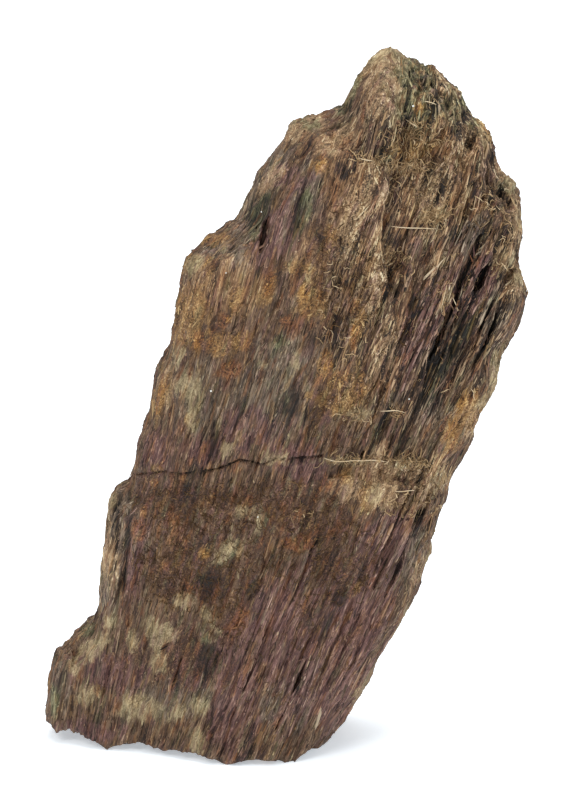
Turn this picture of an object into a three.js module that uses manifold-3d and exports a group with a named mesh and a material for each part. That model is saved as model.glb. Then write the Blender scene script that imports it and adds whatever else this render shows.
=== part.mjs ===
// A hand-sized specimen of fibrous dumortierite: one leaning, splintery mass of parallel crystal
// needles that stands on its broken foot. Millimetres, +Z up, seen from the front along +Y.
//
// The mass is built the way it grew and broke. Long laths of needles lie side by side and make the
// front and the back, a second sheet of laths covers most of the front and ends in ledges, and the
// whole bundle is trimmed to the broken outline, whose flanks slope inwards to the front and back.
import * as THREE from "three";
import { mergeVertices } from "three/addons/utils/BufferGeometryUtils.js";
import Module from "manifold-3d";

const wasm = await Module();
wasm.setup();

// Driving dimensions.
const HEIGHT = 90;
const FOOT_FRONT = 13;
const FOOT_BACK = 12;
const FRONT_LEAN = 0.072;
const BACK_LEAN = 0.083;
const SHEET = 1.3;
const CORE = 4;

// The front is a blunt ridge that stands over this x at the floor and moves right as it rises.
// The face turns back from it on both sides, most steeply near the foot. The back is flatter.
const FRONT_RIDGE = { foot: -5, drift: 0.21, lowTurn: 0.42, highTurn: 0.17, eased: 45 };
const BACK_RIDGE = { foot: -3, drift: 0.2, turn: 0.19 };
const RIDGE_BLUNT = 2;

// Low swells on each face: their height, and how far apart they are across and up.
const FRONT_SWELLS = [
  { height: 0.55, across: 9, up: 16, seed: 3 },
  { height: 0.3, across: 4, up: 9, seed: 5 },
];
const BACK_SWELLS = [
  { height: 0.9, across: 11, up: 17, seed: 7 },
  { height: 0.4, across: 5, up: 10, seed: 11 },
];

// The flanks slope in by these amounts at a distance in front of and behind the middle, towards a
// line through the middle of the mass. That distance shrinks from a height up to the peak, which
// rounds the peak off. The flanks are uneven in swells and in jogs along the needles, which vary
// along x, y and z at the given rates, and the broken ends of the laths are spread by up to
// END_SPREAD.
const FLANK_REACH = 16;
const PEAK_REACH = 8.5;
const ROUNDED_FROM = 52;
const FLANK_STEPS = 8;
const FRONT_TAPER = 7.2;
const BACK_TAPER = 6.4;
const TAPER_CURVE = 1.5;
const TAPER_SHARE = 0.95;
const TAPER_UNREST = { share: 0.55, x: 0.23, y: 0.11, z: 0.17, seed: 13 };
const FLANK_JOG = { height: 0.7, x: 0.391, y: 0.2, z: 0.289, seed: 17 };
const ABOVE_FLOOR = 0.02;
const SPINE = [[-10, 9], [12, 76]];
const END_SPREAD = 2.2;

// The least and the further width of a lath as shares of the mean, how far it runs under its
// neighbour, how far its kinks wander along it, and where the crest lies across its width.
const LATH_NARROWEST = 0.6;
const LATH_WIDTH_SPREAD = 0.8;
const LATH_OVERLAP = 0.12;
const LATH_JOG = 1.6;
const CREST_FROM = 0.3;
const CREST_SPREAD = 0.4;

// The needles lean to the right as they rise, and fan out a little from left to right.
const MID_HEIGHT = 45;
const LEAN = 0.315;
const FAN = 0.0064;
const FIBRE_LEFT = -29;
const FIBRE_RIGHT = 27;

// The broken outline from the front, as [x, z], clockwise from the lower left corner.
const OUTLINE = [
  [-29.4, 1.0], [-30.3, 2.4], [-30.0, 6.1], [-28.9, 10.8], [-25.8, 13.2], [-23.5, 15.7],
  [-22.9, 22.5], [-22.2, 31.0], [-20.7, 32.7], [-19.3, 33.7], [-18.8, 37.1], [-16.9, 42.8],
  [-16.0, 48.4], [-14.4, 51.0], [-13.2, 56.5], [-12.5, 62.2], [-10.5, 64.4], [-5.4, 68.2],
  [-3.2, 73.1], [0.2, 78.7], [1.4, 80.4], [6.1, 81.6], [8.4, 83.5], [9.5, 86.3],
  [11.4, 88.6], [13.2, HEIGHT], [14.8, 88.9], [17.1, 87.7], [19.7, 86.4], [22.4, 84.3],
  [23.6, 81.6], [26.2, 78.3], [26.9, 74.2], [29.9, 70.6], [30.1, 65.2], [29.4, 63.1],
  [30.8, 57.8], [29.0, 52.6], [27.6, 51.5], [27.1, 46.2], [24.6, 42.1], [23.9, 38.2],
  [21.7, 34.9], [20.6, 30.8], [18.8, 26.4], [18.4, 23.1], [17.6, 20.1], [16.0, 17.0],
  [13.9, 13.0], [12.6, 10.6], [10.9, 7.0], [8.8, 3.3], [6.6, 0], [-26.5, 0],
];

// Where the upper sheet of the front lies: all of the foot and the left, with the pale bump of the
// peak and the matted lobe below it. Its right edge steps down to the coarse columns.
const UPPER_SHEET = [
  [-40, -5], [-40, 95], [15.6, 95], [14.8, 87.8], [14.3, 84.1], [13.5, 80.8],
  [12.7, 80.2], [11.7, 79.8], [11.1, 77.8], [11.8, 76.6], [12.6, 75.6], [13.2, 73.8],
  [12.1, 69.7], [12.4, 64.9], [13.6, 60.4], [14.3, 56.5], [13.5, 52.6], [12.4, 48.0],
  [10.8, 43.4], [8.4, 40.6], [6.0, 38.4], [4.7, 36.4], [7.8, 37.0], [12.0, 35.9],
  [15.8, 35.5], [19.0, 35.6], [21.2, 34.4], [35, 33.0], [35, -5],
];

// Where the upper sheet of the back lies: two tongues that end in broken steps.
const BACK_SHEET = [
  [-40, 12], [-24, 17], [-14, 16], [-8, 24], [-3, 22], [4, 31], [9, 45], [7, 56], [13, 63],
  [15, 74], [24, 79], [40, 76], [40, 95], [-40, 95],
];

// The parting that crosses the left half of the front, as [x, z] from left to right.
const CRACK = [
  [-24, 33.6], [-17.1, 33.8], [-15.2, 34.3], [-13.3, 33.8], [-10.8, 34.2], [-7.6, 35.3],
  [-4.4, 34.8], [-2.5, 36.2], [1.5, 36.5], [5.2, 36.2],
];
const CRACK_GAPE = 0.3;
const CRACK_FLOOR = -5.4;

// Gaps between needles, each with its middle [x, z], length along the needles, width and depth.
const SLOTS = [
  { at: [-2.2, 67.2], long: 7, wide: 0.6, deep: 2.0 },
  { at: [1.5, 67.8], long: 8, wide: 0.6, deep: 2.2 },
  { at: [-0.4, 59.4], long: 4, wide: 0.6, deep: 1.8 },
  { at: [17.6, 83.0], long: 3, wide: 0.7, deep: 2.0 },
  { at: [18.6, 78.4], long: 5, wide: 0.5, deep: 1.6 },
  { at: [17.6, 73.8], long: 3, wide: 0.9, deep: 2.2 },
  { at: [25.4, 72.0], long: 3, wide: 0.8, deep: 2.2 },
  { at: [26.8, 70.4], long: 2.4, wide: 0.9, deep: 2.0 },
  { at: [21.5, 67.3], long: 7, wide: 0.5, deep: 1.8 },
  { at: [23.6, 64.4], long: 9, wide: 0.7, deep: 2.6 },
  { at: [25.2, 61.8], long: 5, wide: 0.8, deep: 2.4 },
  { at: [21.6, 58.8], long: 9, wide: 0.7, deep: 2.6 },
  { at: [20.0, 54.4], long: 11, wide: 0.7, deep: 2.6 },
  { at: [25.6, 54.2], long: 7, wide: 0.6, deep: 1.8 },
  { at: [17.4, 50.2], long: 9, wide: 0.5, deep: 2.2 },
  { at: [20.4, 48.0], long: 8, wide: 0.5, deep: 2.0 },
  { at: [14.7, 61.2], long: 3.6, wide: 0.6, deep: 1.6 },
  { at: [13.2, 42.0], long: 4, wide: 0.7, deep: 1.8 },
  { at: [9.8, 38.9], long: 2.6, wide: 1.2, deep: 1.4 },
  { at: [1.4, 9.6], long: 14, wide: 0.5, deep: 1.2 },
  { at: [-13.3, 11.0], long: 6, wide: 0.5, deep: 1.2 },
];

// Arches broken out of the lower edge, each a round bar along Y: its axis [x, z], radius and reach.
const ARCHES = [
  { at: [-27.4, -5.6], radius: 7.4, from: -20, to: 2 },
  { at: [-24.2, -1.6], radius: 2.4, from: -20, to: 1 },
  { at: [-18.2, -6.6], radius: 7.8, from: -20, to: -1.5 },
  { at: [-12.0, -9.4], radius: 10.5, from: -20, to: -5 },
  { at: [-3.4, -8.6], radius: 9.3, from: -20, to: -8 },
  { at: [6.4, -7.0], radius: 8.5, from: -20, to: -7 },
  { at: [-9.0, -9.4], radius: 10.4, from: 7.5, to: 20 },
];

// A rectangle round the whole front view, and a distance that is past every face.
const FRAME = [[-40, -5], [-40, 95], [40, 95], [40, -5]];
const BEYOND = 30;

const MATERIAL = { color: 0x6e5548, roughness: 0.82, metalness: 0 };

// A repeatable pseudo-random number from 0 to 1 for three whole numbers.
function chance(a, b, c = 0) {
  const wave = Math.sin(a * 127.1 + b * 311.7 + c * 74.7) * 43758.5453;
  return wave - Math.floor(wave);
}

// Smooth noise from -1 to 1 over a plane, with one bump for each unit.
function swell(x, y, seed) {
  const column = Math.floor(x);
  const row = Math.floor(y);
  const ease = (t) => t * t * (3 - 2 * t);
  const across = ease(x - column);
  const up = ease(y - row);
  const low = THREE.MathUtils.lerp(chance(column, row, seed), chance(column + 1, row, seed), across);
  const high = THREE.MathUtils.lerp(
    chance(column, row + 1, seed),
    chance(column + 1, row + 1, seed),
    across,
  );
  return 2 * THREE.MathUtils.lerp(low, high, up) - 1;
}

// The needle line numbered u crosses height z at this x.
const fibreX = (u, z) => u + (LEAN + FAN * u) * (z - MID_HEIGHT);

// The distance from a ridge line, rounded off near nought so that the ridge is blunt.
function fromRidge(x, z, { foot, drift }) {
  return Math.hypot(x - foot - drift * z, RIDGE_BLUNT) - RIDGE_BLUNT;
}

function swells(x, z, list) {
  return list.reduce((sum, { height, across, up, seed }) => {
    return sum + height * swell(x / across, z / up, seed);
  }, 0);
}

// The front and the back as a whole: the y of each face at x and z.
function frontY(x, z) {
  const { lowTurn, highTurn, eased } = FRONT_RIDGE;
  const turn = THREE.MathUtils.lerp(lowTurn, highTurn, THREE.MathUtils.smoothstep(z, 0, eased));
  const face = -FOOT_FRONT + FRONT_LEAN * z + turn * fromRidge(x, z, FRONT_RIDGE);
  return face + swells(x, z, FRONT_SWELLS);
}

function backY(x, z) {
  const face = FOOT_BACK - BACK_LEAN * z - BACK_RIDGE.turn * fromRidge(x, z, BACK_RIDGE);
  return face + swells(x, z, BACK_SWELLS);
}

// Moves each vertex of a geometry to the place that a function gives it.
function moved(geometry, place) {
  const position = geometry.getAttribute("position");
  const point = new THREE.Vector3();
  for (let i = 0; i < position.count; i++) {
    point.fromBufferAttribute(position, i);
    position.setXYZ(i, ...place(point));
  }
  return geometry;
}

// A three.js geometry as a manifold-3d solid, and back.
function solidOf(geometry) {
  const bare = geometry.clone();
  bare.deleteAttribute("normal");
  bare.deleteAttribute("uv");
  const merged = mergeVertices(bare, 1e-4);
  const vertProperties = new Float32Array(merged.getAttribute("position").array);
  const triVerts = new Uint32Array(merged.index.array);
  return new wasm.Manifold(new wasm.Mesh({ numProp: 3, vertProperties, triVerts }));
}

function geometryOf(solid) {
  const { vertProperties, triVerts } = solid.getMesh();
  const geometry = new THREE.BufferGeometry();
  geometry.setAttribute("position", new THREE.BufferAttribute(vertProperties, 3));
  geometry.setIndex(new THREE.BufferAttribute(triVerts, 1));
  const faceted = geometry.toNonIndexed();
  faceted.computeVertexNormals();
  return faceted;
}

const joined = (solids) => solids.reduce((all, solid) => all.add(solid));

// A prism with the front view that the points give, from y = near to y = far.
function prism(points, near, far, steps = 1) {
  const shape = new THREE.Shape(points.map(([x, z]) => new THREE.Vector2(x, z)));
  const depth = far - near;
  const geometry = new THREE.ExtrudeGeometry(shape, { depth, steps, bevelEnabled: false });
  return geometry.rotateX(Math.PI / 2).translate(0, far, 0);
}

// One lath between two needle lines, from its outer face in to y = inner. The outer face has a
// crest along it and two slopes, and wavers from station to station.
function lath({ u0, u1, low, high, stations, face, lift, crown, unrest, inner, seed }) {
  const crest = CREST_FROM + CREST_SPREAD * chance(seed, 1);
  const offset = unrest * (2 * chance(seed, 2) - 1);
  const out = inner > 0 ? -1 : 1;
  return moved(new THREE.BoxGeometry(1, 1, 1, 2, 1, stations), ({ x: s, y: q, z: t }) => {
    const station = Math.round((t + 0.5) * stations);
    const inside = station > 0 && station < stations;
    const jog = inside ? LATH_JOG * (chance(seed, station, 3) - 0.5) : 0;
    const z = THREE.MathUtils.lerp(low, high, t + 0.5) + jog;
    const onCrest = Math.abs(s) < 0.25;
    const u = THREE.MathUtils.lerp(u0 - LATH_OVERLAP, u1 + LATH_OVERLAP, onCrest ? crest : s + 0.5);
    const x = fibreX(u, z);
    if (Math.sign(q) !== out) return [x, inner, z];
    const waver = unrest * (chance(seed, station, 4) - 0.5);
    const slope = onCrest ? 0 : crown;
    return [x, face(x, z) + out * (lift + offset + waver - slope), z];
  });
}

// Laths side by side across a range of needle lines, with uneven widths and uneven broken ends.
function laths({ from, to, width, ...rest }) {
  const solids = [];
  let u = from;
  for (let i = 0; u < to; i++) {
    const seed = rest.seed * 100 + i;
    const next = u + width * (LATH_NARROWEST + LATH_WIDTH_SPREAD * chance(seed, 0));
    const ends = fracturedBlock(END_SPREAD * (2 * chance(seed, 5) - 1));
    solids.push(solidOf(lath({ ...rest, u0: u, u1: next, seed })).intersect(ends));
    u = next;
  }
  return joined(solids);
}

// The unevenness of the flanks at a place, from -1 to 1.
function flankSwell(point, { x, y, z, seed }) {
  return swell(point.x * x + point.z * z, point.y * y, seed);
}

// The fracture that bounds the mass: the outline, drawn in towards the front and the back. With a
// shift, it is slid along the needles and reaches far below the floor.
function fracturedBlock(shift = 0) {
  const spine = new THREE.Line3(...SPINE.map(([x, z]) => new THREE.Vector3(x, 0, z)));
  const onSpine = new THREE.Vector3();
  const wall = prism(OUTLINE, -FLANK_REACH, FLANK_REACH, FLANK_STEPS);
  return solidOf(moved(wall, (point) => {
    spine.closestPointToPoint(new THREE.Vector3(point.x, 0, point.z), true, onSpine);
    const inward = new THREE.Vector2(onSpine.x - point.x, onSpine.z - point.z).normalize();
    const rounded = THREE.MathUtils.smoothstep(point.z, ROUNDED_FROM, HEIGHT);
    const share = Math.abs(point.y) / THREE.MathUtils.lerp(FLANK_REACH, PEAK_REACH, rounded);
    const slope = point.y < 0 ? FRONT_TAPER : BACK_TAPER;
    const taper = TAPER_SHARE + TAPER_UNREST.share * flankSwell(point, TAPER_UNREST);
    const pull = slope * share ** TAPER_CURVE * taper;
    const x = point.x + inward.x * pull + LEAN * shift;
    if (point.z < ABOVE_FLOOR) return [x, point.y, shift ? -HEIGHT : 0];
    const jog = FLANK_JOG.height * share * flankSwell(point, FLANK_JOG);
    return [x, point.y, Math.max(ABOVE_FLOOR, point.z + inward.y * pull + jog + shift)];
  }));
}

// The laths of the front and back, before they are trimmed.
function bundle() {
  const full = { low: -4, high: 94 };
  const front = { ...full, face: frontY, inner: 3 };
  const back = { ...full, face: backY, inner: -2 };
  const columns = laths({
    ...front, from: 1, to: FIBRE_RIGHT, width: 1.7, stations: 14,
    lift: 0, crown: 0.55, unrest: 0.55, seed: 1,
  });
  const cover = laths({
    ...front, from: FIBRE_LEFT, to: FIBRE_RIGHT, width: 2.5, stations: 16,
    lift: SHEET, crown: 0.3, unrest: 0.34, seed: 2,
  });
  const rear = laths({
    ...back, from: FIBRE_LEFT, to: FIBRE_RIGHT, width: 3.6, stations: 12,
    lift: 0, crown: 0.7, unrest: 0.5, seed: 3,
  });
  const rearCover = laths({
    ...back, from: FIBRE_LEFT, to: FIBRE_RIGHT, width: 3.2, stations: 12,
    lift: SHEET, crown: 0.5, unrest: 0.5, seed: 4,
  });
  const coverTrim = solidOf(prism(UPPER_SHEET, -BEYOND, BEYOND));
  const rearTrim = solidOf(prism(BACK_SHEET, -BEYOND, BEYOND));
  return joined([columns, cover.intersect(coverTrim), rear, rearCover.intersect(rearTrim)]);
}

// A lens-shaped gap between needles, cut into the front.
function slot({ at: [x, z], long, wide, deep }) {
  const u = (x - LEAN * (z - MID_HEIGHT)) / (1 + FAN * (z - MID_HEIGHT));
  const slope = LEAN + FAN * u;
  const half = long / 2;
  const points = [
    [-half * slope, -half],
    [wide / 2 - 0.3 * half * slope, -0.3 * half],
    [wide / 2 + 0.4 * half * slope, 0.4 * half],
    [half * slope, half],
    [-wide / 2 + 0.3 * half * slope, 0.3 * half],
    [-wide / 2 - 0.4 * half * slope, -0.4 * half],
  ].map(([dx, dz]) => [x + dx, z + dz]);
  return solidOf(prism(points, -BEYOND, frontY(x, z) + deep));
}

// The parting: a thin ribbon that follows the crack and gapes at the surface.
function parting() {
  const upper = CRACK.map(([x, z]) => [x, z + CRACK_GAPE / 2]);
  const lower = CRACK.map(([x, z]) => [x, z - CRACK_GAPE / 2]).reverse();
  return solidOf(prism([...upper, ...lower], -BEYOND, CRACK_FLOOR));
}

function arch({ at: [x, z], radius, from, to }) {
  const bar = new THREE.CylinderGeometry(radius, radius, to - from, 28);
  return solidOf(bar.translate(x, (from + to) / 2, z));
}

function dumortieriteMass() {
  const block = fracturedBlock();
  const core = block.intersect(solidOf(prism(FRAME, -CORE / 2, CORE / 2)));
  let mass = bundle().intersect(block).add(core);
  for (const cut of [...SLOTS.map(slot), parting(), ...ARCHES.map(arch)]) mass = mass.subtract(cut);
  const pieces = mass.decompose();
  return pieces.reduce((a, b) => (b.volume() > a.volume() ? b : a));
}

// The origin is on the standing surface, under the middle of the mass.
const geometry = geometryOf(dumortieriteMass());
geometry.computeBoundingBox();
const middle = geometry.boundingBox.getCenter(new THREE.Vector3());
geometry.translate(-middle.x, -middle.y, -geometry.boundingBox.min.z);

const specimen = new THREE.Group();
const mass = new THREE.Mesh(geometry, new THREE.MeshStandardMaterial(MATERIAL));
mass.name = "dumortierite_mass";
specimen.add(mass);

export default specimen;
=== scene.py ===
"""A hand specimen of fibrous dumortierite: a leaning, splintery slab of parallel crystal needles.

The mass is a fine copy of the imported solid. It is straightened along its needles, remeshed there and
bent back, and then gets bundles, needles, lumps and grooves. Fine needles lie on it along the grain,
with crumbs of crust, straw-coloured hairs in the ledges, brown curls where the fibres are matted, a few
long straws and bright flakes. Lengths in the script are millimetres, and are turned to metres where a
mesh is made.
"""
import math

import bpy
import numpy as np
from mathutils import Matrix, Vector
from mathutils.bvhtree import BVHTree


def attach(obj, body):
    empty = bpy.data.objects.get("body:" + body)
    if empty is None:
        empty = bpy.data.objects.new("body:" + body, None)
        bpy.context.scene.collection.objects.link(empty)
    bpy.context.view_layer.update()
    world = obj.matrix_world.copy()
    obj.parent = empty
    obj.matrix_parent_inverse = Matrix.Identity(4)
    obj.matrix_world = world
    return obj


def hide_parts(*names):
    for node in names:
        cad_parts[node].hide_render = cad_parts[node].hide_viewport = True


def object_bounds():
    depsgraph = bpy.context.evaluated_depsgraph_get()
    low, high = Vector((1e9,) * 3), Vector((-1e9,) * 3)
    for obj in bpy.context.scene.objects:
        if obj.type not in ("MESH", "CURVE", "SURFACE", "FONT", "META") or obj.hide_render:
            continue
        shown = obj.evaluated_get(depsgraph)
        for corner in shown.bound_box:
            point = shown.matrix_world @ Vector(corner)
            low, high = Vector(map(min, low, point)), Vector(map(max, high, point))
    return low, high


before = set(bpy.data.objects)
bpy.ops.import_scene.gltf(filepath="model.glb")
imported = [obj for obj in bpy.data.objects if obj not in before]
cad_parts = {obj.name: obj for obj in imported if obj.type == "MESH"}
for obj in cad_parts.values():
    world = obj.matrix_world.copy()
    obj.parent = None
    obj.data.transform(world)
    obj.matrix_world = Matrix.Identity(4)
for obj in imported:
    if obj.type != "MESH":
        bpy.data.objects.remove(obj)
CAD_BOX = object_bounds()

METRES = 0.001
LOW, HIGH = (np.array(corner) / METRES for corner in CAD_BOX)
BODY = "root"
NODE = "dumortierite_mass"

# Added to the places of noise, so that the numbers of its cells are positive.
POSITIVE = 1000

# The grain: needle line u crosses height z at x = u + (LEAN + FAN u)(z - MID_HEIGHT).
MID_HEIGHT = 45
LEAN = 0.315
FAN = 0.0064

# The view of the reference picture, in whose pixels the places of marks below are given.
PICTURE = np.array([570, 800])
PX_PER_MM = 7.9
ELEVATION = math.radians(15)
DISTANCE = 1100
SENSOR = 36
AIM = np.array([0.1, 0.0, 44.4])
AHEAD = np.array([0.0, math.cos(ELEVATION), -math.sin(ELEVATION)])
UP = np.array([0.0, math.sin(ELEVATION), math.cos(ELEVATION)])
RIGHT = np.array([1.0, 0.0, 0.0])
EYE = AIM - AHEAD * DISTANCE

# The mass is remeshed on a grid of this size, which is longer along the needles.
GRID = 0.23
GRID_STRETCH = 5

# The deepest and the proudest relief, and how far it and the loose fibres may pass the solid's box.
DEEPEST = -1.6
PROUDEST = 0.55
RELIEF_MARGIN = 0.3
FIBRE_MARGIN = 0.4
FLOOR_GAP = 0.15

# The crack: depth, width, and how high, how far off and how wide its raised lips are.
CRACK_DEPTH = 0.6
CRACK_WIDTH = 0.13
LIP_HEIGHT = 0.15
LIP_PLACE = 0.5
LIP_WIDTH = 0.35

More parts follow.
